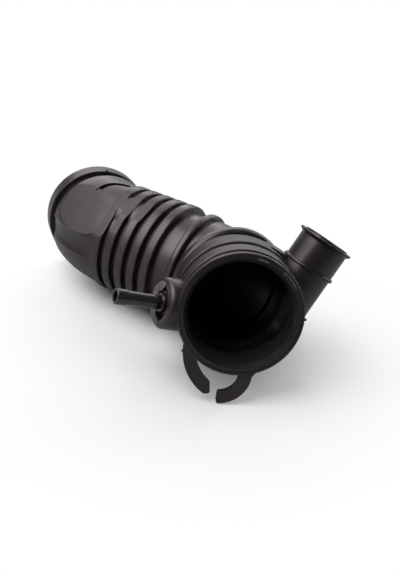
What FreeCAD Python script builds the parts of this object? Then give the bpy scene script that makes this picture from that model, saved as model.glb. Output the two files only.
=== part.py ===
import FreeCAD, Part
import math
import os

from FreeCAD import Placement, Rotation, Vector

# Air intake hose: one rubber moulding with a hard plastic hose nipple pressed into its side boss.
# The moulding is laid out with the centre of the front rim at the origin, X to the right, Y into the
# hose and Z up as seen from the front. It is then turned and lowered onto the surface it lies on.

# Driving sizes, in millimetres and degrees
SIZES = {
    # Walls and fits
    "wall": 2.8,
    "crest_wall": 1.9,
    "press_gap": 0.02,
    # Front cuff, with its rim, a groove behind it and two bands on a common bed
    "cuff_length": 47.6,
    "tube_radius": 37.6,
    "rim_height": 2.4,
    "rim_width": 4.0,
    "rim_round": 0.9,
    "lip_edge": 1.5,
    "lip_depth": 0.8,
    "cuff_wall": 4.1,
    "bore_depth": 20.0,
    "bore_chamfer": 2.4,
    "bed_height": 1.8,
    "front_band_height": 2.9,
    "back_band_height": 3.6,
    "band_start": 7.0,
    "band_split": 22.5,
    "band_line": 4.0,
    "band_end": 46.5,
    "band_round": 1.2,
    "pocket_inset": 2.2,
    # First bend, with a ridge round it and another just behind it
    "bend_roll": 17.5,
    "bend_throat": 4.4,
    "bend_angle": 58.0,
    "ridge_angle": 19.5,
    "ridge_height": 5.0,
    "ridge_width": 9.0,
    "ridge_round": 3.6,
    "collar_start": 3.5,
    "collar_height": 4.2,
    "collar_width": 5.0,
    "collar_round": 1.6,
    # Bellows of square crests
    "root_drop": 1.2,
    "crest_start": 21.0,
    "crest_pitch": 10.6,
    "crest_width": 6.4,
    "crest_height_front": 5.0,
    "crest_height_rear": 3.5,
    "crest_round": 1.1,
    "crest_tail": 1.7,
    # Rear elbow, with one flat moulded across its outside, a hollow along the lower edge of that flat
    # and another flat across the last crests
    "elbow_twist": -6.0,
    "elbow_throat": 1.8,
    "elbow_angle": 43.0,
    "elbow_rise": 1.9,
    "elbow_wall": 5.3,
    "elbow_flat_turn": 32.0,
    "elbow_flat_tilt": 13.0,
    "elbow_flat_depth": 3.1,
    "hollow_turn": 172.0,
    "hollow_radius": 20.0,
    "hollow_depth": 2.4,
    "crest_flat_turn": 54.4,
    "crest_flat_tilt": 2.2,
    "crest_flat_depth": 0.2,
    "crest_pad_radius": 18.0,
    "crest_pad_rise": 0.7,
    "crest_pad_step": 1.1,
    "flat_width": 90.0,
    "flat_reach": 40.0,
    "flat_depth": 14.0,
    # Curved slot in the top of the elbow
    "slot_turn": -117.7,
    "slot_from": -85.0,
    "slot_sweep": 85.0,
    "slot_radius": 14.0,
    "slot_width": 4.2,
    "slot_depth": 2.8,
    # Rear cuff, with a clamp groove that starts in the elbow and an end flange
    "groove_angle": 7.0,
    "rear_length": 20.0,
    "rear_wall": 1.7,
    "rear_groove_depth": 3.6,
    "rear_flange_width": 14.0,
    "rear_flange_drop": 0.2,
    "rear_round": 0.9,
    # Branch pipe, leaving the front cuff at a tangent
    "branch_angle": 56.2,
    "branch_lean": 2.5,
    "branch_offset": 29.3,
    "branch_depth": 38.4,
    "branch_radius": 17.0,
    "branch_bore_radius": 14.6,
    "branch_length": 64.3,
    "branch_bead_at": 43.5,
    "branch_bead_radius": 18.5,
    "branch_bead_width": 2.4,
    "branch_bead_round": 1.0,
    "branch_flange_radius": 19.3,
    "branch_flange_width": 1.1,
    "branch_flange_round": 0.4,
    "branch_flare": 1.8,
    "branch_lip": 0.8,
    "branch_lip_radius": 15.8,
    "web_reach": 30.0,
    "web_top": 42.1,
    "web_height": 24.0,
    "web_width": 22.0,
    "web_shift": 6.0,
    "web_round": 1.5,
    # Side boss for the nipple
    "boss_angle": 164.0,
    "boss_lean": -20.5,
    "boss_depth": 33.0,
    "boss_drop": 9.0,
    "boss_radius": 16.6,
    "boss_length": 55.5,
    "boss_round": 3.6,
    "recess_radius": 11.4,
    "recess_depth": 6.0,
    "post_radius": 7.6,
    "post_drop": 2.0,
    "vent_radius": 3.4,
    # Nipple
    "pipe_radius": 4.6,
    "pipe_bore_radius": 3.6,
    "nipple_length": 41.5,
    "stem_length": 9.0,
    "nipple_collar_radius": 6.2,
    "nipple_collar_width": 2.4,
    "nipple_collar_round": 0.7,
    "barb_length": 7.4,
    "barb_radius": 5.1,
    "barb_round": 0.5,
    # Two hooks below the front rim, which close round a pipe
    "hook_setback": 0.7,
    "hook_thickness": 3.2,
    "hook_width": 8.5,
    "hook_round": 1.6,
    "left_hook_x": -1.0,
    "left_hook_z": -24.5,
    "left_hook_radius": 26.9,
    "left_hook_from": 160.0,
    "left_hook_sweep": 82.0,
    "left_hook_end": -19.4,
    "left_hook_foot": -51.8,
    "right_hook_x": -13.0,
    "right_hook_z": -38.2,
    "right_hook_radius": 12.0,
    "right_hook_from": -98.0,
    "right_hook_sweep": 116.0,
    "gusset_x": 5.6,
    "gusset_z": -43.6,
    "gusset_angle": 50.0,
    "gusset_length": 9.0,
    "gusset_width": 5.0,
    # How it lies at rest
    "rest_pitch": -6.59,
    "rest_roll": -15.01,
}
CREST_COUNT = 5
PAD_COUNT = 2
ROUND_LIMIT = 0.45

doc = FreeCAD.newDocument("air_intake_hose")
sheet = doc.addObject("Spreadsheet::Sheet", "sizes")
for row, (alias, value) in enumerate(SIZES.items(), 1):
    sheet.set(f"A{row}", alias)
    sheet.set(f"B{row}", str(value))
    sheet.setAlias(f"B{row}", alias)
doc.recompute()


def size(alias):
    """The number in one cell of the sheet."""
    return float(sheet.get(alias))


# Radii that follow from the tube's
RIM = "(sizes.tube_radius + sizes.rim_height)"
FRONT_BORE = "(sizes.tube_radius - sizes.cuff_wall)"
BEND_DUCT = "(sizes.tube_radius - sizes.wall)"
BEND = "(sizes.tube_radius + sizes.bend_throat)"
ROOT = "(sizes.tube_radius - sizes.root_drop)"
ELBOW_TUBE = "(sizes.tube_radius - sizes.root_drop + sizes.elbow_rise)"
ELBOW_DUCT = f"({ELBOW_TUBE} - sizes.elbow_wall)"
ELBOW = f"({ELBOW_TUBE} + sizes.elbow_throat)"
REAR_GROOVE = f"({ELBOW_TUBE} - sizes.rear_groove_depth)"
root_radius = size("tube_radius") - size("root_drop")
elbow_tube_radius = root_radius + size("elbow_rise")
flat_distance = {"elbow_flat": elbow_tube_radius - size("elbow_flat_depth"),
                 "crest_flat": elbow_tube_radius - size("crest_flat_depth")}


# Frames along the hose: local Z runs along the hose, and local X points where the next bend turns

def shift(frame, x, y, z):
    return frame * Placement(Vector(x, y, z), Rotation())


def along(frame, distance):
    return shift(frame, 0, 0, distance)


def spin(frame, axis, angle):
    return frame * Placement(Vector(), Rotation(axis, angle))


def bend(frame, radius, angle):
    return frame * Placement(Vector(), Rotation(Vector(0, 1, 0), angle), Vector(radius, 0, 0))


def axes_frame(origin, x_axis, z_axis):
    return Placement(origin, Rotation(x_axis, z_axis.cross(x_axis), z_axis, "ZXY"))


def spoke(angle, lean):
    """A direction in the front view, leaning back into the hose by the lean angle."""
    turn = math.radians(angle)
    back = math.radians(lean)
    return Vector(math.cos(turn) * math.cos(back), math.sin(back), math.sin(turn) * math.cos(back))


# Bound primitives

def cylinder(name, radius, height, frame):
    disc = doc.addObject("Part::Cylinder", name)
    disc.setExpression("Radius", radius)
    disc.setExpression("Height", height)
    disc.Placement = frame
    return disc


def sector(name, radius, height, angle, frame):
    piece = cylinder(name, radius, height, frame)
    piece.setExpression("Angle", angle)
    return piece


def cone(name, radius_start, radius_end, height, frame):
    piece = doc.addObject("Part::Cone", name)
    piece.setExpression("Radius1", radius_start)
    piece.setExpression("Radius2", radius_end)
    piece.setExpression("Height", height)
    piece.Placement = frame
    return piece


def sphere(name, radius, frame):
    ball = doc.addObject("Part::Sphere", name)
    ball.setExpression("Radius", radius)
    ball.Placement = frame
    return ball


def box(name, length, width, height, frame):
    block = doc.addObject("Part::Box", name)
    block.setExpression("Length", length)
    block.setExpression("Width", width)
    block.setExpression("Height", height)
    block.Placement = frame
    return block


def elbow(name, tube_radius, radius, angle, frame):
    """A bent tube that starts at the frame and turns towards its X."""
    ring = doc.addObject("Part::Torus", name)
    ring.setExpression("Radius1", radius)
    ring.setExpression("Radius2", tube_radius)
    ring.setExpression("Angle3", angle)
    ring.recompute()
    turn = Rotation(Vector(-1, 0, 0), Vector(0, 0, 1), Vector(0, 1, 0), "ZXY")
    ring.Placement = shift(frame, ring.Radius1.Value, 0, 0) * Placement(Vector(), turn)
    return ring


def rounded(base, name, radius, wanted):
    """The base with the wanted edges rounded."""
    base.recompute(True)
    fillet = doc.addObject("Part::Fillet", name)
    fillet.Base = base
    edges = enumerate(base.Shape.Edges, 1)
    fillet.Edges = [(number, radius, radius) for number, edge in edges if wanted(edge)]
    return fillet


def is_circle(edge):
    return isinstance(edge.Curve, Part.Circle)


def ring(name, radius, width, rounding, frame):
    """A band round the hose with both its corners rounded."""
    disc = cylinder(name + "_disc", radius, width, frame)
    disc.recompute()
    limit = ROUND_LIMIT * disc.Height.Value
    return rounded(disc, name, min(size(rounding), limit), is_circle)


def fuse(name, pieces):
    joined = doc.addObject("Part::MultiFuse", name)
    joined.Shapes = pieces
    joined.Refine = True
    return joined


def cut(name, base, tool):
    rest = doc.addObject("Part::Cut", name)
    rest.Base = base
    rest.Tool = tool
    rest.Refine = True
    return rest


# Frames of the moulding

roll = math.radians(size("bend_roll"))
front = axes_frame(Vector(), Vector(-math.cos(roll), 0, math.sin(roll)), Vector(0, 1, 0))
back_band_start = size("band_split") + size("band_line")
bend_start = along(front, size("cuff_length"))
bend_radius = size("tube_radius") + size("bend_throat")
ridge = along(bend(bend_start, bend_radius, size("ridge_angle")), -size("ridge_width") / 2)
bellows = bend(bend_start, bend_radius, size("bend_angle"))
last_crest = size("crest_start") + (CREST_COUNT - 1) * size("crest_pitch")
bellows_end = along(bellows, last_crest + size("crest_width") + size("crest_tail"))
elbow_start = spin(bellows_end, Vector(0, 0, 1), 180 + size("elbow_twist"))
elbow_radius = elbow_tube_radius + size("elbow_throat")
rear = bend(elbow_start, elbow_radius, size("elbow_angle"))

branch_turn = math.radians(size("branch_angle"))
branch_side = Vector(math.sin(branch_turn), 0, -math.cos(branch_turn))
branch_origin = branch_side * size("branch_offset") + Vector(0, size("branch_depth"), 0)
branch_axis = spoke(size("branch_angle"), size("branch_lean"))
branch = axes_frame(branch_origin, branch_side, branch_axis)

boss_axis = spoke(size("boss_angle"), size("boss_lean"))
boss_origin = Vector(0, size("boss_depth"), -size("boss_drop"))
boss = axes_frame(boss_origin, boss_axis.cross(Vector(0, 0, 1)).normalize(), boss_axis)
post_top = along(boss, size("boss_length") - size("post_drop"))
seated = along(post_top, -size("stem_length"))


# Rubber moulding, outside

def front_cuff():
    return [
        cylinder("cuff_tube", "sizes.tube_radius", "sizes.cuff_length", front),
        ring("rim", RIM, "sizes.rim_width", "rim_round", front),
        cylinder("band_bed", "sizes.tube_radius + sizes.bed_height",
                 "sizes.band_end - sizes.band_start - 2 * sizes.band_line",
                 along(front, size("band_start") + size("band_line"))),
        ring("front_band", "sizes.tube_radius + sizes.front_band_height",
             "sizes.band_split - sizes.band_start", "band_round", along(front, size("band_start"))),
        ring("back_band", "sizes.tube_radius + sizes.back_band_height",
             "sizes.band_end - sizes.band_split - sizes.band_line", "band_round",
             along(front, back_band_start)),
    ]


def first_bend():
    return [
        elbow("bend_tube", "sizes.tube_radius", BEND, "sizes.bend_angle", bend_start),
        ring("ridge", "sizes.tube_radius + sizes.ridge_height", "sizes.ridge_width", "ridge_round", ridge),
    ]


def crest_radius(number):
    share = number / (CREST_COUNT - 1)
    return f"({ROOT} + sizes.crest_height_front * {1 - share} + sizes.crest_height_rear * {share})"


def crest_frame(number):
    return along(bellows, size("crest_start") + number * size("crest_pitch"))


BELLOWS_LENGTH = (f"sizes.crest_start + {CREST_COUNT - 1} * sizes.crest_pitch"
                  " + sizes.crest_width + sizes.crest_tail")


def bellows_outside():
    pieces = [
        cylinder("bellows_tube", ROOT, BELLOWS_LENGTH, bellows),
        ring("collar", f"{ROOT} + sizes.collar_height", "sizes.collar_width", "collar_round",
             along(bellows, size("collar_start"))),
    ]
    for number in range(CREST_COUNT):
        pieces.append(ring(f"crest_{number}", crest_radius(number), "sizes.crest_width", "crest_round",
                           crest_frame(number)))
    return pieces


def rear_end():
    flange_start = size("rear_length") - size("rear_flange_width")
    return [
        cylinder("elbow_lead", ELBOW_TUBE, "sizes.crest_tail + sizes.crest_round",
                 along(elbow_start, -size("crest_tail") - size("crest_round"))),
        elbow("elbow_tube", ELBOW_TUBE, ELBOW, "sizes.elbow_angle - sizes.groove_angle", elbow_start),
        elbow("groove_tube", REAR_GROOVE, ELBOW, "sizes.elbow_angle", elbow_start),
        cylinder("rear_tube", REAR_GROOVE, "sizes.rear_length", rear),
        ring("rear_flange", f"{ELBOW_TUBE} - sizes.rear_flange_drop", "sizes.rear_flange_width", "rear_round",
             along(rear, flange_start)),
    ]


def branch_outside():
    flange_start = size("branch_length") - size("branch_flange_width")
    bead_start = size("branch_bead_at") - size("branch_bead_width") / 2
    web_frame = shift(branch, -size("web_reach"), size("web_shift") - size("web_width") / 2,
                      size("web_top") - size("web_height"))
    web_block = box("web_block", "sizes.web_reach", "sizes.web_width", "sizes.web_height", web_frame)
    return [
        sphere("branch_root", "sizes.branch_radius", branch),
        cylinder("branch_pipe", "sizes.branch_radius", "sizes.branch_length", branch),
        ring("branch_bead", "sizes.branch_bead_radius", "sizes.branch_bead_width", "branch_bead_round",
             along(branch, bead_start)),
        cone("branch_flare", "sizes.branch_radius", "sizes.branch_flange_radius", "sizes.branch_flare",
             along(branch, flange_start - size("branch_flare"))),
        ring("branch_flange", "sizes.branch_flange_radius", "sizes.branch_flange_width",
             "branch_flange_round", along(branch, flange_start)),
        cylinder("branch_lip", "sizes.branch_lip_radius", "sizes.branch_length + sizes.branch_lip", branch),
        rounded(web_block, "branch_web", size("web_round"), lambda edge: True),
    ]


def hook_frame(x, z, angle):
    """A frame at the back of the hooks: local X turned up from the right, local Z to the front."""
    facing = Rotation(Vector(1, 0, 0), Vector(0, 0, 1), Vector(0, -1, 0), "ZXY")
    back = size("hook_setback") + size("hook_thickness")
    return spin(Placement(Vector(x, back, z), facing), Vector(0, 0, 1), angle)


def hook_arc(side):
    """One flat hook, an arc of a ring that lies as the rim does."""
    name = f"{side}_hook"
    frame = hook_frame(size(f"{name}_x"), size(f"{name}_z"), size(f"{name}_from"))
    outer = sector(f"{name}_outer", f"sizes.{name}_radius + sizes.hook_width", "sizes.hook_thickness",
                   f"sizes.{name}_sweep", frame)
    inner = cylinder(f"{name}_inner", f"sizes.{name}_radius", "sizes.hook_thickness", frame)
    return cut(f"{name}_arc", outer, inner)


def left_hook():
    """The hook at the left, with its end cut upright and its foot level."""
    end = size("left_hook_end")
    foot = size("left_hook_foot")
    spare = 2 * size("hook_width")
    trims = fuse("left_hook_trims", [
        box("left_hook_end_trim", "2 * sizes.hook_width", "4 * sizes.hook_width", "sizes.hook_thickness",
            hook_frame(end, foot - spare, 0)),
        box("left_hook_foot_trim", "2 * sizes.hook_width", "2 * sizes.hook_width", "sizes.hook_thickness",
            hook_frame(end - spare, foot - spare, 0)),
    ])
    trimmed = cut("left_hook_trimmed", hook_arc("left"), trims)
    return [rounded(trimmed, "left_hook", size("hook_round"), is_upright)]


def right_hook():
    """The hook at the right, with a gusset in its outer corner."""
    gusset = box("hook_gusset", "sizes.gusset_length", "sizes.gusset_width", "sizes.hook_thickness",
                 hook_frame(size("gusset_x"), size("gusset_z"), size("gusset_angle")))
    return [rounded(hook_arc("right"), "right_hook", size("hook_round"), is_upright), gusset]


def is_upright(edge):
    return isinstance(edge.Curve, Part.Line) and abs(edge.Curve.Direction.y) > 0.9


def flat_frame(flat):
    """The frame of one flat: local X points inwards, square to the flat."""
    turned = spin(elbow_start, Vector(0, 0, 1), size(f"{flat}_turn"))
    return spin(turned, Vector(0, 1, 0), size(f"{flat}_tilt"))


def groove_centre(number):
    """How far the middle of a groove lies ahead of the elbow, counted from the last groove."""
    return size("crest_tail") + size("crest_width") / 2 + (number + 0.5) * size("crest_pitch")


def flat_block(name, flat, inset):
    """The block that is taken off outside one flat, moved inwards by the inset."""
    outside = inset - flat_distance[flat] - size("flat_depth")
    corner = shift(flat_frame(flat), outside, -size("flat_width") / 2, -groove_centre(PAD_COUNT))
    ahead = f"{PAD_COUNT + 0.5} * sizes.crest_pitch + sizes.crest_width / 2 + sizes.crest_tail"
    return box(name, "sizes.flat_depth", "sizes.flat_width", ahead + " + sizes.flat_reach", corner)


def elbow_hollow():
    """A shallow hollow just below the elbow's flat, which follows the elbow."""
    turn = math.radians(size("hollow_turn"))
    distance = elbow_tube_radius + size("hollow_radius") - size("hollow_depth")
    start = shift(elbow_start, distance * math.cos(turn), distance * math.sin(turn), 0)
    reach = f"({ELBOW_TUBE} + sizes.hollow_radius - sizes.hollow_depth)"
    return elbow("elbow_hollow", "sizes.hollow_radius",
                 f"{ELBOW} - {reach} * cos(sizes.hollow_turn * 1deg)", "sizes.elbow_angle", start)


def elbow_slot():
    """A slot of even depth in the elbow, an arc round an axis that leaves the tube sideways."""
    turn = math.radians(size("slot_turn"))
    outwards = elbow_start.Rotation.multVec(Vector(math.cos(turn), math.sin(turn), 0))
    rearwards = elbow_start.Rotation.multVec(Vector(0, 0, 1))
    frame = spin(axes_frame(elbow_start.Base, rearwards, outwards), Vector(0, 0, 1), size("slot_from"))
    height = f"{ELBOW_TUBE} + sizes.slot_width"
    band = sector("slot_band", "sizes.slot_radius + sizes.slot_width", height, "sizes.slot_sweep", frame)
    middle = cylinder("slot_middle", "sizes.slot_radius", height, frame)
    floor = elbow("slot_floor", f"{ELBOW_TUBE} - sizes.slot_depth", ELBOW, "sizes.elbow_angle", elbow_start)
    return cut("elbow_slot", band, fuse("slot_rest", [middle, floor]))


def crest_pad(number):
    """A pad that closes one groove under the crests' flat, each a step lower than the last."""
    top = flat_distance["crest_flat"] + size("crest_pad_rise") - number * size("crest_pad_step")
    start = -groove_centre(number) - size("crest_pitch") / 2
    frame = shift(flat_frame("crest_flat"), size("crest_pad_radius") - top, 0, start)
    return cylinder(f"crest_pad_{number}", "sizes.crest_pad_radius", "sizes.crest_pitch", frame)


# Rubber moulding, inside

def duct():
    bore_start = along(front, size("lip_depth"))
    pieces = [
        cylinder("front_bore", FRONT_BORE, "sizes.bore_depth", front),
        cylinder("lip_step", f"{RIM} - sizes.lip_edge", "sizes.lip_depth", front),
        cone("bore_mouth", f"{FRONT_BORE} + sizes.bore_chamfer", FRONT_BORE, "sizes.bore_chamfer",
             bore_start),
        cylinder("cuff_duct", BEND_DUCT, "sizes.cuff_length - sizes.bore_depth",
                 along(front, size("bore_depth"))),
        cylinder("band_pocket", "sizes.tube_radius + sizes.back_band_height - sizes.cuff_wall",
                 "sizes.band_end - sizes.band_split - sizes.band_line - 2 * sizes.pocket_inset",
                 along(front, back_band_start + size("pocket_inset"))),
        cylinder("ridge_pocket", "sizes.tube_radius + sizes.ridge_height - sizes.cuff_wall",
                 "sizes.ridge_width - 2 * sizes.pocket_inset", along(ridge, size("pocket_inset"))),
        elbow("bend_duct", BEND_DUCT, BEND, "sizes.bend_angle", bend_start),
        cylinder("bellows_duct", f"{ROOT} - sizes.wall", BELLOWS_LENGTH, bellows),
        elbow("elbow_duct", ELBOW_DUCT, ELBOW, "sizes.elbow_angle", elbow_start),
        cylinder("rear_bore", f"{REAR_GROOVE} - sizes.rear_wall", "sizes.rear_length", rear),
        sphere("branch_pocket", "sizes.branch_bore_radius", branch),
        cylinder("branch_bore", "sizes.branch_bore_radius", "sizes.branch_length + sizes.branch_lip",
                 branch),
    ]
    for number in range(CREST_COUNT):
        pieces.append(cylinder(f"crest_pocket_{number}", crest_radius(number) + " - sizes.crest_wall",
                               "sizes.crest_width - 2 * sizes.crest_wall",
                               along(crest_frame(number), size("crest_wall"))))
    return pieces


def nipple_seat():
    recess = along(boss, size("boss_length") - size("recess_depth"))
    moat = cut("boss_moat", cylinder("boss_recess", "sizes.recess_radius", "sizes.recess_depth", recess),
               cylinder("boss_post", "sizes.post_radius", "sizes.recess_depth", recess))
    return [
        moat,
        cylinder("boss_mouth", "sizes.recess_radius", "sizes.post_drop", post_top),
        cylinder("stem_hole", "sizes.pipe_radius + sizes.press_gap", "sizes.stem_length", seated),
        cylinder("vent_hole", "sizes.vent_radius", "sizes.boss_length - sizes.post_drop", boss),
    ]


def rubber_hose():
    outside = front_cuff() + first_bend() + bellows_outside() + rear_end() + branch_outside()
    outside.append(ring("side_boss", "sizes.boss_radius", "sizes.boss_length", "boss_round", boss))
    outside += left_hook() + right_hook()
    outside += [crest_pad(number) for number in range(PAD_COUNT)]
    shaved = fuse("shaved", [flat_block("elbow_flat_outside", "elbow_flat", 0),
                             flat_block("crest_flat_outside", "crest_flat", 0),
                             elbow_hollow(), elbow_slot()])
    kept = fuse("kept", [flat_block("elbow_flat_inside", "elbow_flat", size("wall")),
                         flat_block("crest_flat_inside", "crest_flat", size("crest_wall"))])
    solid = cut("flattened", fuse("outside", outside), shaved)
    hollow = cut("flattened_duct", fuse("duct", duct()), kept)
    return cut("rubber_hose", solid, fuse("hollow", [hollow] + nipple_seat()))


# Hard plastic nipple

def hose_nipple():
    barb_start = size("nipple_length") - size("barb_length")
    outside = fuse("nipple_outside", [
        cylinder("pipe", "sizes.pipe_radius", "sizes.nipple_length", seated),
        ring("nipple_collar", "sizes.nipple_collar_radius", "sizes.nipple_collar_width",
             "nipple_collar_round", post_top),
        ring("barb", "sizes.barb_radius", "sizes.barb_length", "barb_round", along(seated, barb_start)),
    ])
    return cut("hose_nipple", outside,
               cylinder("pipe_bore", "sizes.pipe_bore_radius", "sizes.nipple_length", seated))


parts = {"rubber_hose": rubber_hose(), "hose_nipple": hose_nipple()}
doc.recompute()

# Lie the part on its resting points, with the middle of its footprint at the origin
rest = Rotation(0, size("rest_pitch"), size("rest_roll"))
laid = Part.makeCompound([part.Shape for part in parts.values()])
laid.Placement = Placement(Vector(), rest)
bounds = laid.optimalBoundingBox(False, False)
floor = Vector(-bounds.Center.x, -bounds.Center.y, -bounds.ZMin)
for label, part in parts.items():
    part.Label = label
    part.Placement = Placement(floor, rest)
doc.recompute()

# Check every object before anything is written
for item in doc.Objects:
    if "Invalid" in item.State or "Error" in item.State:
        raise RuntimeError(f"{item.Name} failed: {item.State}")
for label, part in parts.items():
    if part.Shape.isNull() or not part.Shape.isValid() or len(part.Shape.Solids) != 1:
        raise RuntimeError(f"{label} isn't one valid solid")

os.makedirs("parts", exist_ok=True)
for label, part in parts.items():
    part.Shape.exportStep(f"parts/{label}.step")
    print(label, "volume", round(part.Shape.Volume), "mm3")
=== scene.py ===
import math

import bmesh
import bpy
from mathutils import Matrix, Vector


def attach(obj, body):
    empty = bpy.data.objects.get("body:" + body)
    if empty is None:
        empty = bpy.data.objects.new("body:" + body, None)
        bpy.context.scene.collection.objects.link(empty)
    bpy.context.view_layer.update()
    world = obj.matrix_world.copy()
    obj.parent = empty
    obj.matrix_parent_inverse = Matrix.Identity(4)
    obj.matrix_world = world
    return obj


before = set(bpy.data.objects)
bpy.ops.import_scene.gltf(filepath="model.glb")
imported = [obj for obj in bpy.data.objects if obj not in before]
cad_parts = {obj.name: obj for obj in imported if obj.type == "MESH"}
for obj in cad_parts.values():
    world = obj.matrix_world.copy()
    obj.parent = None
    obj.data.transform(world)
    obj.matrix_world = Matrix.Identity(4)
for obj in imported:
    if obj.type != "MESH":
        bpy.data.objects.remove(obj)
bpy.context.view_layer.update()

scene = bpy.context.scene
MM = 0.001

# Frames of the moulding in metres: a place, and the ways that X, Y and Z run from it.
# At the front rim X is to the right, Y into the hose and Z up. Elsewhere Z runs along the pipe.
FRONT = (Vector((0.029513, -0.080935, 0.058938)),
         (Vector((0.99339, 0.0, 0.11476)), Vector((0.02972, 0.96588, -0.25728)),
          Vector((-0.11085, 0.25899, 0.95950))))
BELLOWS = (Vector((0.012623, 0.000981, 0.041064)),
           (Vector((-0.54492, -0.77784, 0.31308)), Vector((0.19300, 0.24700, 0.94960)),
            Vector((-0.81597, 0.57788, 0.01553))))
BRANCH = (Vector((0.056648, -0.048066, 0.036214)),
          (Vector((0.88716, -0.14407, -0.43840)), Vector((0.00961, 0.95557, -0.29460)),
           Vector((0.46137, 0.25714, 0.84913))))
BOSS = (Vector((0.031492, -0.051392, 0.041813)),
        (Vector((-0.33240, 0.90019, -0.28138)), Vector((-0.13472, -0.34060, -0.93050)),
         Vector((-0.93347, -0.27139, 0.23449))))

# Where the rubber's finish changes, and where the painted light inside the cuff fades, in metres: from the
# axis of a frame for the side of the branch pipe, the tops of the crests and the radius of the lining, and
# along it for the rest
BRANCH_SIDE = (0.0205, 0.0235)
BRANCH_FOOT = (0.0060, 0.0160)
CREST_TOPS = (0.0388, 0.0412)
CRESTS_START = (0.0140, 0.0180)
CRESTS_END = (0.0720, 0.0780)
DUST_START = (-0.030, -0.010)
DUST_END = (0.020, 0.055)
LINING_RADIUS = 0.0356
LINING_START = 0.0012
LINING_END = 0.0477
# LINING_FADE spans painted light: the lining is dark near its mouth and lighter deeper in
LINING_FADE = (0.012, 0.050)
BLOOM_FADE = (0.004, 0.030)

# Shading of the solids: points nearer than the first are joined, and edges below the second are smooth
WELD_DISTANCE = 0.000005
SMOOTH_ANGLE = math.radians(28)

# The faces of the front lip and of the boss's mouth, in millimetres along their axes
LIP_FACE = 0.8
MOUTH_FACE = 55.5

# Places on the rear flange and on the elbow's flat in metres, and the ways that they face
FLANGE_TOP = Vector((-0.06036, 0.07980, 0.07650))
FLANGE_UP = Vector((0.097, 0.157, 0.983)).normalized()
FLANGE_AXIS = Vector((-0.2134, 0.96783, -0.1333))
SLOT_END = Vector((-0.06640, 0.04480, 0.07770))
FLAT_SEAM = (Vector((-0.06637, 0.04430, 0.07752)), Vector((-0.06081, 0.03424, 0.07566)),
             Vector((-0.05818, 0.02624, 0.07267)))
FLAT_UP = Vector((-0.578, -0.446, 0.683)).normalized()
UPWARD = Vector((0.0, 0.0, 1.0))

# Stage: how pale the floor is for the camera and for the light it returns, how far from the object
# it turns to plain white, and the strength of the surround
WHITE = (1.0, 1.0, 1.0, 1.0)
FLOOR_SEEN = (0.95, 0.95, 0.95)
FLOOR_LIT = (0.46, 0.46, 0.46)
FLOOR_FADE = (0.06, 0.20)
FLOOR_REACH = 4.0
SURROUND_SEEN = 1.0
SURROUND_LIT = 0.10


# Materials

RISING = (0.0, 1.0)
FALLING = (1.0, 0.0)


def node(tree, kind, **values):
    made = tree.nodes.new(kind)
    for key, value in values.items():
        if key in made.inputs:
            made.inputs[key].default_value = value
        else:
            setattr(made, key, value)
    return made


def noise(tree, place, scale, detail, roughness):
    made = node(tree, "ShaderNodeTexNoise", Scale=scale, Detail=detail, Roughness=roughness)
    tree.links.new(place, made.inputs["Vector"])
    return made.outputs["Fac"]


def remap(tree, value, span, to):
    made = node(tree, "ShaderNodeMapRange")
    for name, number in zip(("From Min", "From Max", "To Min", "To Max"), (*span, *to)):
        made.inputs[name].default_value = number
    tree.links.new(value, made.inputs["Value"])
    return made.outputs["Result"]


def mottle(tree, place, scale, detail, roughness, span=(0.3, 0.7), to=RISING):
    """Noise with a span of its values stretched over the wanted ones."""
    return remap(tree, noise(tree, place, scale, detail, roughness), span, to)


def mix_colour(tree, share, first, second):
    made = node(tree, "ShaderNodeMix", data_type="RGBA")
    tree.links.new(share, made.inputs["Factor"])
    for socket, value in ((made.inputs[6], first), (made.inputs[7], second)):
        if isinstance(value, tuple):
            socket.default_value = (*value, 1.0)
        else:
            tree.links.new(value, socket)
    return made.outputs[2]


def mix_value(tree, share, first, second):
    made = node(tree, "ShaderNodeMix", data_type="FLOAT")
    tree.links.new(share, made.inputs["Factor"])
    tree.links.new(first, made.inputs[2])
    tree.links.new(second, made.inputs[3])
    return made.outputs[0]


def product(tree, first, *others):
    for other in others:
        made = node(tree, "ShaderNodeMath", operation="MULTIPLY")
        tree.links.new(first, made.inputs[0])
        tree.links.new(other, made.inputs[1])
        first = made.outputs[0]
    return first


def about_axis(tree, place, origin, axis):
    """How far along an axis and how far from it a point lies."""
    offset = node(tree, "ShaderNodeVectorMath", operation="SUBTRACT")
    offset.inputs[1].default_value = origin
    tree.links.new(place, offset.inputs[0])
    along = node(tree, "ShaderNodeVectorMath", operation="DOT_PRODUCT")
    across = node(tree, "ShaderNodeVectorMath", operation="CROSS_PRODUCT")
    for made in (along, across):
        made.inputs[1].default_value = axis
        tree.links.new(offset.outputs[0], made.inputs[0])
    length = node(tree, "ShaderNodeVectorMath", operation="LENGTH")
    tree.links.new(across.outputs[0], length.inputs[0])
    return along.outputs["Value"], length.outputs["Value"]


def bump(tree, height, strength, distance, normal=None):
    made = node(tree, "ShaderNodeBump", Strength=strength, Distance=distance)
    tree.links.new(height, made.inputs["Height"])
    if normal is not None:
        tree.links.new(normal, made.inputs["Normal"])
    return made.outputs["Normal"]


def new_material(name):
    """A material with its node tree, its shader and the place on the object."""
    made = bpy.data.materials.new(name)
    made.use_nodes = True
    tree = made.node_tree
    place = node(tree, "ShaderNodeTexCoord").outputs["Object"]
    return made, tree, tree.nodes["Principled BSDF"], place


def join_shader(tree, shader, colour, rough, normal):
    for name, value in (("Base Color", colour), ("Roughness", rough), ("Normal", normal)):
        tree.links.new(value, shader.inputs[name])


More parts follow.
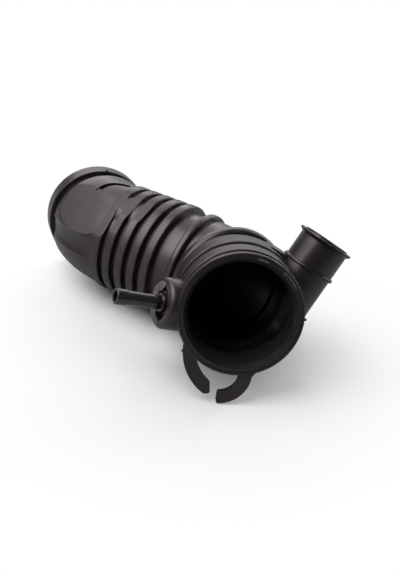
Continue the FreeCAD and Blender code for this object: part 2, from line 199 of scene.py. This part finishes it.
def rubber_material():
    """Black rubber: polished on the branch pipe, scuffed on the crests and dusty before them."""
    made, tree, shader, place = new_material("moulded_rubber")

    depth, reach = about_axis(tree, place, BRANCH[0], BRANCH[1][2])
    on_branch = product(tree, remap(tree, reach, BRANCH_SIDE, FALLING),
                        remap(tree, depth, BRANCH_FOOT, RISING))
    depth, reach = about_axis(tree, place, BELLOWS[0], BELLOWS[1][2])
    scuff = mottle(tree, place, scale=140.0, detail=4.0, roughness=0.65, span=(0.40, 0.62))
    rubbed = product(tree, remap(tree, reach, CREST_TOPS, RISING), scuff,
                     remap(tree, depth, CRESTS_START, RISING), remap(tree, depth, CRESTS_END, FALLING))
    film = mottle(tree, place, scale=34.0, detail=4.0, roughness=0.6, span=(0.46, 0.66))
    dusty = product(tree, film, remap(tree, depth, DUST_START, (0.0, 0.8)),
                    remap(tree, depth, DUST_END, FALLING))

    cloud = mottle(tree, place, scale=55.0, detail=4.0, roughness=0.6)
    colour = mix_colour(tree, cloud, (0.0085, 0.0068, 0.0078), (0.0150, 0.0122, 0.0138))
    colour = mix_colour(tree, rubbed, colour, (0.0300, 0.0255, 0.0255))
    colour = mix_colour(tree, dusty, colour, (0.0270, 0.0195, 0.0150))

    patches = mottle(tree, place, scale=22.0, detail=3.0, roughness=0.55, to=(0.31, 0.46))
    polished = mottle(tree, place, scale=60.0, detail=3.0, roughness=0.5, to=(0.29, 0.38))
    rough = mix_value(tree, on_branch, patches, polished)
    shader.inputs["Specular IOR Level"].default_value = 0.8
    shader.inputs["Specular Tint"].default_value = (1.0, 0.87, 0.94, 1.0)
    fine = noise(tree, place, scale=1400.0, detail=3.0, roughness=0.6)
    grain = bump(tree, fine, strength=0.07, distance=0.00012)
    broad = noise(tree, place, scale=120.0, detail=2.0, roughness=0.5)
    swell = bump(tree, broad, strength=0.10, distance=0.0006, normal=grain)
    join_shader(tree, shader, colour, rough, swell)
    return made


def lining_material():
    """The duller rubber inside the front cuff, with painted light that leaves it dark near its mouth and
    lighter deeper in, and a grey bloom near its mouth.
    """
    made, tree, shader, place = new_material("cuff_lining")
    depth, _ = about_axis(tree, place, FRONT[0], FRONT[1][1])
    # Painted light: dark near the mouth, lighter and bluer deeper inside the cuff
    painted_depth_light = remap(tree, depth, LINING_FADE, RISING)
    colour = mix_colour(tree, painted_depth_light, (0.0080, 0.0074, 0.0092), (0.0300, 0.0270, 0.0400))
    bloom = mottle(tree, place, scale=75.0, detail=5.0, roughness=0.65, span=(0.42, 0.68), to=(0.0, 0.7))
    bloom = product(tree, bloom, remap(tree, depth, BLOOM_FADE, FALLING))
    colour = mix_colour(tree, bloom, colour, (0.0240, 0.0235, 0.0250))
    rough = mottle(tree, place, scale=50.0, detail=3.0, roughness=0.55, to=(0.60, 0.78))
    shader.inputs["Specular IOR Level"].default_value = 0.22
    fine = noise(tree, place, scale=900.0, detail=3.0, roughness=0.6)
    join_shader(tree, shader, colour, rough, bump(tree, fine, strength=0.10, distance=0.00015))
    return made


def plastic_material():
    """The hard, glossy plastic of the nipple."""
    made, tree, shader, place = new_material("nipple_plastic")
    cloud = mottle(tree, place, scale=90.0, detail=3.0, roughness=0.5)
    colour = mix_colour(tree, cloud, (0.011, 0.009, 0.010), (0.018, 0.015, 0.016))
    rough = mottle(tree, place, scale=300.0, detail=3.0, roughness=0.6, to=(0.14, 0.24))
    shader.inputs["Specular IOR Level"].default_value = 0.9
    shader.inputs["Specular Tint"].default_value = (1.0, 0.92, 0.93, 1.0)
    ripple = noise(tree, place, scale=500.0, detail=2.0, roughness=0.5)
    join_shader(tree, shader, colour, rough, bump(tree, ripple, strength=0.04, distance=0.0002))
    return made


def painted_highlight_material():
    """Paler rubber whose pale colour is painted light: highlights on small marks, and the lit wall inside the
    boss's mouth.
    """
    made, tree, shader, place = new_material("rubber_painted_highlight")
    cloud = mottle(tree, place, scale=420.0, detail=4.0, roughness=0.65, span=(0.35, 0.65))
    colour = mix_colour(tree, cloud, (0.060, 0.050, 0.054), (0.150, 0.128, 0.136))
    rough = mottle(tree, place, scale=260.0, detail=3.0, roughness=0.6, to=(0.40, 0.62))
    torn = noise(tree, place, scale=700.0, detail=3.0, roughness=0.6)
    join_shader(tree, shader, colour, rough, bump(tree, torn, strength=0.30, distance=0.0003))
    return made


def line_front_cuff(group, lining):
    """A node that gives the faces inside the front cuff their own material."""
    centre = group.nodes.new("GeometryNodeInputPosition")
    depth, reach = about_axis(group, centre.outputs[0], FRONT[0], FRONT[1][1])
    chosen = None
    for value, operation, limit in ((reach, "LESS_THAN", LINING_RADIUS),
                                    (depth, "GREATER_THAN", LINING_START),
                                    (depth, "LESS_THAN", LINING_END)):
        test = group.nodes.new("FunctionNodeCompare")
        test.operation = operation
        test.inputs["B"].default_value = limit
        group.links.new(value, test.inputs["A"])
        if chosen is None:
            chosen = test.outputs[0]
        else:
            both = group.nodes.new("FunctionNodeBooleanMath")
            group.links.new(chosen, both.inputs[0])
            group.links.new(test.outputs[0], both.inputs[1])
            chosen = both.outputs[0]
    paint = group.nodes.new("GeometryNodeSetMaterial")
    paint.inputs["Material"].default_value = lining
    group.links.new(chosen, paint.inputs["Selection"])
    return paint


def smooth_by_angle(name, lining):
    """A node group that shades smooth up to an angle, and lines the front cuff where it has a lining."""
    group = bpy.data.node_groups.new(name, "GeometryNodeTree")
    group.interface.new_socket("Geometry", in_out="INPUT", socket_type="NodeSocketGeometry")
    group.interface.new_socket("Geometry", in_out="OUTPUT", socket_type="NodeSocketGeometry")
    start = group.nodes.new("NodeGroupInput")
    end = group.nodes.new("NodeGroupOutput")
    weld = group.nodes.new("GeometryNodeMergeByDistance")
    weld.inputs["Distance"].default_value = WELD_DISTANCE
    faces = group.nodes.new("GeometryNodeSetShadeSmooth")
    faces.domain = "FACE"
    edges = group.nodes.new("GeometryNodeSetShadeSmooth")
    edges.domain = "EDGE"
    angle = group.nodes.new("GeometryNodeInputMeshEdgeAngle")
    below = group.nodes.new("FunctionNodeCompare")
    below.operation = "LESS_THAN"
    below.inputs["B"].default_value = SMOOTH_ANGLE
    group.links.new(start.outputs[0], weld.inputs["Geometry"])
    group.links.new(weld.outputs["Geometry"], faces.inputs["Geometry"])
    group.links.new(faces.outputs[0], edges.inputs["Geometry"])
    group.links.new(angle.outputs["Unsigned Angle"], below.inputs["A"])
    group.links.new(below.outputs[0], edges.inputs["Shade Smooth"])
    done = edges.outputs[0]
    if lining is not None:
        paint = line_front_cuff(group, lining)
        group.links.new(done, paint.inputs["Geometry"])
        done = paint.outputs[0]
    group.links.new(done, end.inputs[0])
    return group


def dress(item, material, lining=None):
    item.data.materials.clear()
    item.data.materials.append(material)
    item.modifiers.new("smooth", "NODES").node_group = smooth_by_angle(f"smooth_{item.name}", lining)
    weighted = item.modifiers.new("weighted", "WEIGHTED_NORMAL")
    weighted.keep_sharp = True
    weighted.weight = 100


rubber = rubber_material()
# The pale rubber is painted light: highlights and a lit wall, not a different rubber
painted_highlight = painted_highlight_material()
dress(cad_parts["rubber_hose"], rubber, lining_material())
dress(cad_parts["hose_nipple"], plastic_material())


# Small moulded details, some in a pale colour that is painted light, with their sizes in millimetres and
# degrees

def at(base, x, y, z):
    """A place in one of the frames, given in millimetres."""
    origin, (ways_x, ways_y, ways_z) = base
    return origin + (ways_x * x + ways_y * y + ways_z * z) * MM


def standing_ways(up, axis):
    """The three ways of a nub that stands along up, the first of them across an axis."""
    right = -up.cross(axis).normalized()
    return right, up.cross(right), up


def add_piece(name, rings, material):
    points, faces = skin(rings)
    mesh = bpy.data.meshes.new(name)
    mesh.from_pydata(points, [], faces)
    mesh.update()
    work = bmesh.new()
    work.from_mesh(mesh)
    bmesh.ops.recalc_face_normals(work, faces=work.faces)
    work.to_mesh(mesh)
    work.free()
    mesh.shade_smooth()
    mesh.materials.append(material)
    item = bpy.data.objects.new(name, mesh)
    scene.collection.objects.link(item)
    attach(item, "root")


def skin(rings):
    """The points and faces of a closed skin over rings of equal length, with both ends capped."""
    count = len(rings[0])
    points = [point for loop in rings for point in loop]
    faces = []
    for row in range(len(rings) - 1):
        for column in range(count):
            after = (column + 1) % count
            faces.append((row * count + column, row * count + after,
                          (row + 1) * count + after, (row + 1) * count + column))
    faces.append(tuple(reversed(range(count))))
    last = (len(rings) - 1) * count
    faces.append(tuple(range(last, last + count)))
    return points, faces


def rounded_outline(width, height, corner):
    """A rectangle with rounded corners, round its own centre."""
    steps = 4
    outline = []
    for turn, (side, lift) in enumerate(((1, 1), (-1, 1), (-1, -1), (1, -1))):
        for step in range(steps + 1):
            angle = math.radians(90 * (turn + step / steps))
            outline.append((side * (width / 2 - corner) + corner * math.cos(angle),
                            lift * (height / 2 - corner) + corner * math.sin(angle)))
    return outline


def lip_mark(name, material, inner, outer, first, last, top, sunk):
    """A raised mark on the front lip: a rounded section swept round the rim's axis, slimmer at its ends."""
    steps = 18
    corner_share = 0.28
    end_slim = 0.72
    end_steps = 1.5
    width = outer - inner
    height = top + sunk
    section = rounded_outline(width, height, corner_share * min(width, height))
    middle = (inner + outer) / 2
    rings = []
    for step in range(steps + 1):
        share = step / steps
        angle = math.radians(first + (last - first) * share)
        edge = min(share, 1 - share) * steps
        slim = end_slim + (1 - end_slim) * min(1.0, edge / end_steps)
        ring = []
        for across, lift in section:
            radius = middle + across * slim
            rise = LIP_FACE - (top - sunk) / 2 - lift * slim
            ring.append(at(FRONT, radius * math.cos(angle), rise, radius * math.sin(angle)))
        rings.append(ring)
    add_piece(name, rings, material)


def nub(name, material, place, ways, width, depth, height):
    """A small tapered nub with rounded corners, rooted a little below its place."""
    right, forward, up = ways
    corner = 0.3 * min(width, depth)
    # Shares of the height, and of the width and depth there
    levels = ((-0.30, 1.06), (0.0, 1.0), (0.45, 0.95), (0.75, 0.88), (0.92, 0.72), (1.0, 0.45))
    rings = []
    for lift, slim in levels:
        outline = rounded_outline(width * slim, depth * slim, corner * slim)
        rings.append([place + (right * x + forward * y + up * (lift * height)) * MM for x, y in outline])
    add_piece(name, rings, material)


def raised_line(name, material, points, normal, width, height):
    """A faint raised line over a flat, following a few points with their corners smoothed."""
    spans = 8
    passes = 6
    round_steps = 12
    end_slim = 0.25
    end_rate = 6
    path = []
    for here, after in zip(points, points[1:]):
        path.extend(here.lerp(after, step / spans) for step in range(spans))
    path.append(points[-1])
    for _ in range(passes):
        path = [path[0]] + [(before + here * 2 + after) / 4
                            for before, here, after in zip(path, path[1:], path[2:])] + [path[-1]]
    rings = []
    for number, here in enumerate(path):
        run = (path[min(number + 1, len(path) - 1)] - path[max(number - 1, 0)]).normalized()
        side = normal.cross(run).normalized()
        share = number / (len(path) - 1)
        slim = end_slim + (1 - end_slim) * min(1.0, end_rate * min(share, 1 - share))
        ring = []
        for step in range(round_steps):
            angle = math.radians(360 / round_steps * step)
            lift = height * slim * math.sin(angle)
            ring.append(here + (side * (width / 2 * slim * math.cos(angle)) + normal * lift) * MM)
        rings.append(ring)
    add_piece(name, rings, material)


def painted_light_skin(name, material, first, last, inner, outer, phase):
    """A thin ragged skin of rubber over part of the boss's mouth, placed as painted light where the wall
    inside the mouth is lit.
    """
    steps = 40
    spans = 7
    thickness = 0.5
    least_width = 0.4
    clearance = 0.15
    end_rate = 9
    # Height of a wave along the inner edge, how fast it runs and how much of the phase it takes
    ragged_waves = ((0.95, 9, 1.0), (0.55, 23, 2.1), (0.30, 53, 0.7))
    curl_height, curl_rate = 0.9, 7
    wave_height, wave_rate, wave_lean = 0.18, 19, 5
    rings = []
    for step in range(steps + 1):
        share = step / steps
        angle = math.radians(first + (last - first) * share)
        taper = min(1.0, end_rate * min(share, 1 - share))
        ragged = sum(size * math.sin(rate * share + lag * phase) for size, rate, lag in ragged_waves)
        start = outer - (outer - inner + ragged) * taper - least_width
        ring = []
        for layer in (1, -1):
            for span in range(spans + 1)[::layer]:
                part = span / spans
                radius = start + (outer - start) * part
                curl = curl_height * (1 - part) ** 2 * math.sin(curl_rate * share + phase) * taper
                wave = wave_height * math.sin(wave_rate * share + wave_lean * part + phase)
                height = MOUTH_FACE + clearance + curl + wave * (1 - part) + layer * thickness / 2
                ring.append(at(BOSS, radius * math.cos(angle), radius * math.sin(angle), height))
        rings.append(ring)
    add_piece(name, rings, material)


rim_right, rim_inward, rim_up = FRONT[1]
# The pale lip bar and the pale edge of the lip block are painted highlights
lip_mark("lip_bar", painted_highlight, inner=36.4, outer=37.7, first=63.0, last=74.0, top=0.7, sunk=0.4)
lip_mark("lip_block", rubber, inner=35.5, outer=37.7, first=26.0, last=45.0, top=0.8, sunk=0.5)
lip_mark("lip_block_edge", painted_highlight, inner=37.3, outer=38.3, first=25.5, last=45.5, top=1.3, sunk=0.3)
nub("rim_flash", rubber, at(FRONT, x=39.6, y=2.0, z=-4.2), (rim_inward, rim_up, rim_right),
    width=1.8, depth=1.5, height=1.6)
nub("hook_flash", rubber, at(FRONT, x=-36.6, y=2.3, z=-23.0), (rim_inward, rim_up, -rim_right),
    width=1.6, depth=1.4, height=0.6)
nub("flange_tab", rubber, FLANGE_TOP, standing_ways(FLANGE_UP, FLANGE_AXIS), width=2.4, depth=2.0, height=1.2)
# The pale slot nub and the pale flat seam are painted highlights
nub("slot_nub", painted_highlight, SLOT_END, standing_ways(FLAT_UP, UPWARD), width=2.2, depth=2.6, height=1.3)
raised_line("flat_seam", painted_highlight, FLAT_SEAM, FLAT_UP, width=1.2, height=0.40)
# Pale ragged skins: painted light on the lit wall inside the boss's mouth
painted_light_skin("painted_light_skin_top", painted_highlight, first=254.0, last=352.0, inner=8.4, outer=13.4, phase=0.6)
painted_light_skin("painted_light_skin_bottom", painted_highlight, first=8.0, last=108.0, inner=8.2, outer=13.4, phase=2.3)


# Stage: a white floor, a white surround for the camera and soft lamps

def floor_material():
    """A pale floor that keeps the shadow near the object and is plain white for the camera further out."""
    made, tree, shader, place = new_material("floor_white")
    shader.inputs["Roughness"].default_value = 0.9
    shader.inputs["Specular IOR Level"].default_value = 0.0
    glow = node(tree, "ShaderNodeEmission", Strength=1.0)
    reach = node(tree, "ShaderNodeVectorMath", operation="LENGTH")
    tree.links.new(place, reach.inputs[0])
    far = remap(tree, reach.outputs["Value"], FLOOR_FADE, RISING)
    seen = node(tree, "ShaderNodeLightPath").outputs["Is Camera Ray"]
    tree.links.new(mix_colour(tree, seen, FLOOR_LIT, FLOOR_SEEN), shader.inputs["Base Color"])
    blend = node(tree, "ShaderNodeMixShader")
    tree.links.new(product(tree, far, seen), blend.inputs[0])
    tree.links.new(shader.outputs[0], blend.inputs[1])
    tree.links.new(glow.outputs[0], blend.inputs[2])
    tree.links.new(blend.outputs[0], tree.nodes["Material Output"].inputs["Surface"])
    return made


def make_floor():
    mesh = bpy.data.meshes.new("floor")
    corners = [(x * FLOOR_REACH, y * FLOOR_REACH, 0) for x, y in ((-1, -1), (1, -1), (1, 1), (-1, 1))]
    mesh.from_pydata(corners, [], [(0, 1, 2, 3)])
    floor = bpy.data.objects.new("floor", mesh)
    scene.collection.objects.link(floor)
    mesh.materials.append(floor_material())


def make_world():
    world = bpy.data.worlds.new("surround")
    scene.world = world
    world.use_nodes = True
    tree = world.node_tree
    dim = tree.nodes["Background"]
    dim.inputs["Color"].default_value = WHITE
    dim.inputs["Strength"].default_value = SURROUND_LIT
    bright = node(tree, "ShaderNodeBackground", Color=WHITE, Strength=SURROUND_SEEN)
    path = node(tree, "ShaderNodeLightPath")
    blend = node(tree, "ShaderNodeMixShader")
    tree.links.new(path.outputs["Is Camera Ray"], blend.inputs[0])
    tree.links.new(dim.outputs[0], blend.inputs[1])
    tree.links.new(bright.outputs[0], blend.inputs[2])
    tree.links.new(blend.outputs[0], tree.nodes["World Output"].inputs["Surface"])


def lamp(name, place, target, width, height, power):
    light = bpy.data.lights.new(name, "AREA")
    light.shape = "RECTANGLE"
    light.size = width
    light.size_y = height
    light.energy = power
    item = bpy.data.objects.new(name, light)
    item.location = place
    item.rotation_mode = "QUATERNION"
    item.rotation_quaternion = (Vector(target) - Vector(place)).to_track_quat("-Z", "Y")
    scene.collection.objects.link(item)


make_floor()
make_world()
lamp("upper_left", (-0.60, -0.05, 1.00), (0.0, 0.0, 0.04), width=1.1, height=1.1, power=14.0)
lamp("back_low", (0.10, 1.15, 0.44), (0.0, 0.0, 0.06), width=1.6, height=0.36, power=4.8)
lamp("back_high", (0.0, 0.85, 0.92), (0.0, 0.0, 0.06), width=1.4, height=0.55, power=2.7)
lamp("left_softbox", (-1.15, -0.60, 0.35), (0.0, 0.0, 0.06), width=0.4, height=0.6, power=0.65)
lamp("right_back", (0.95, 0.60, 0.50), (0.05, -0.02, 0.06), width=0.35, height=0.8, power=4.0)


# Camera of the photograph

def make_camera():
    right = Vector((0.989725, -0.058966, 0.130256))
    up = Vector((-0.081661, 0.514691, 0.853478))
    back = Vector((-0.117367, -0.855346, 0.504588))
    eye = Vector((-0.05839, -0.51447, 0.33414))
    data = bpy.data.cameras.new("camera")
    data.sensor_width = 36.0
    data.lens = 53.122
    data.clip_start = 0.01
    data.clip_end = 20.0
    item = bpy.data.objects.new("camera", data)
    turn = Matrix((right, up, back)).transposed().to_4x4()
    item.matrix_world = Matrix.Translation(eye) @ turn
    scene.collection.objects.link(item)
    scene.camera = item


make_camera()
scene.view_settings.view_transform = "Standard"
